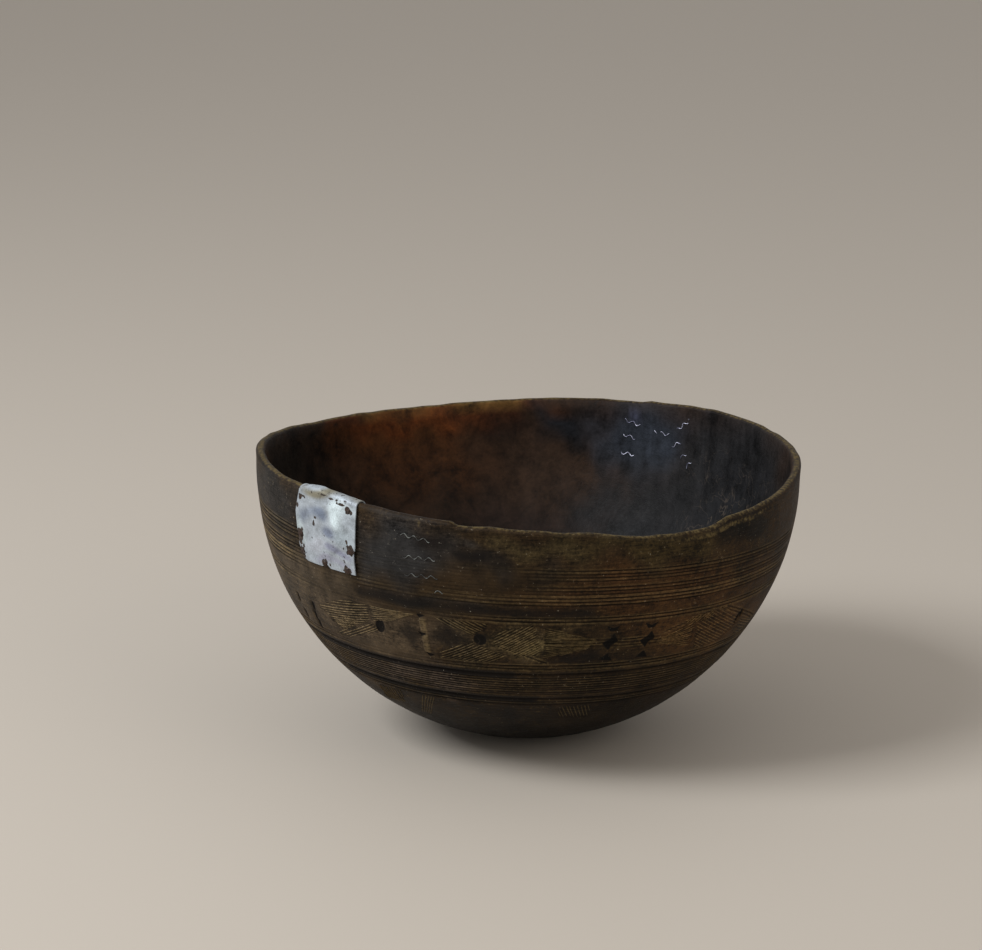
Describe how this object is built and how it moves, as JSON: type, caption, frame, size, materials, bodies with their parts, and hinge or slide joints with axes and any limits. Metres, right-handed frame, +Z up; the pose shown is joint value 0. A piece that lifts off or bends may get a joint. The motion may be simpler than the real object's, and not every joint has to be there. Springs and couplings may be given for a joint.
{
  "type": "carved wooden bowl",
  "caption": "Deep round bowl carved from one piece of wood, with engraved bands, a folded tin patch nailed over the rim and corrugated strips driven across its cracks.",
  "frame": {"origin": "middle of the worn flat under the bowl, on the surface it stands on", "axes": "+Z up; -Y is the front, where the patch is on the left; the bowl's own axis leans 2.2 degrees from +Z towards +X"},
  "size_m": [0.3602, 0.36, 0.1954],
  "materials": {
    "carved_wood": "dark oiled and smoked wood with a worn sheen",
    "tin_sheet": "dull hammered sheet with grey stains",
    "tack_iron": "rusted iron tacks",
    "strip_steel": "tarnished corrugated strip, bright on its edge"
  },
  "bodies": {
    "root": {"bowl": "carved_wood", "rim_patch": "tin_sheet", "patch_nail_1": "tack_iron", "patch_nail_2": "tack_iron", "patch_nail_3": "tack_iron", "patch_nail_4": "tack_iron", "patch_nail_5": "tack_iron", "patch_nail_6": "tack_iron", "patch_nail_7": "tack_iron", "inner_patch_nail_1": "tack_iron", "inner_patch_nail_2": "tack_iron", "outer_strip_1": "strip_steel", "outer_strip_2": "strip_steel", "outer_strip_3": "strip_steel", "outer_strip_4": "strip_steel", "rear_strip_1": "strip_steel", "rear_strip_2": "strip_steel", "rear_strip_3": "strip_steel", "side_strip_1": "strip_steel", "side_strip_2": "strip_steel", "side_strip_3": "strip_steel", "side_strip_4": "strip_steel", "side_strip_5": "strip_steel"}
  },
  "joints": []
}
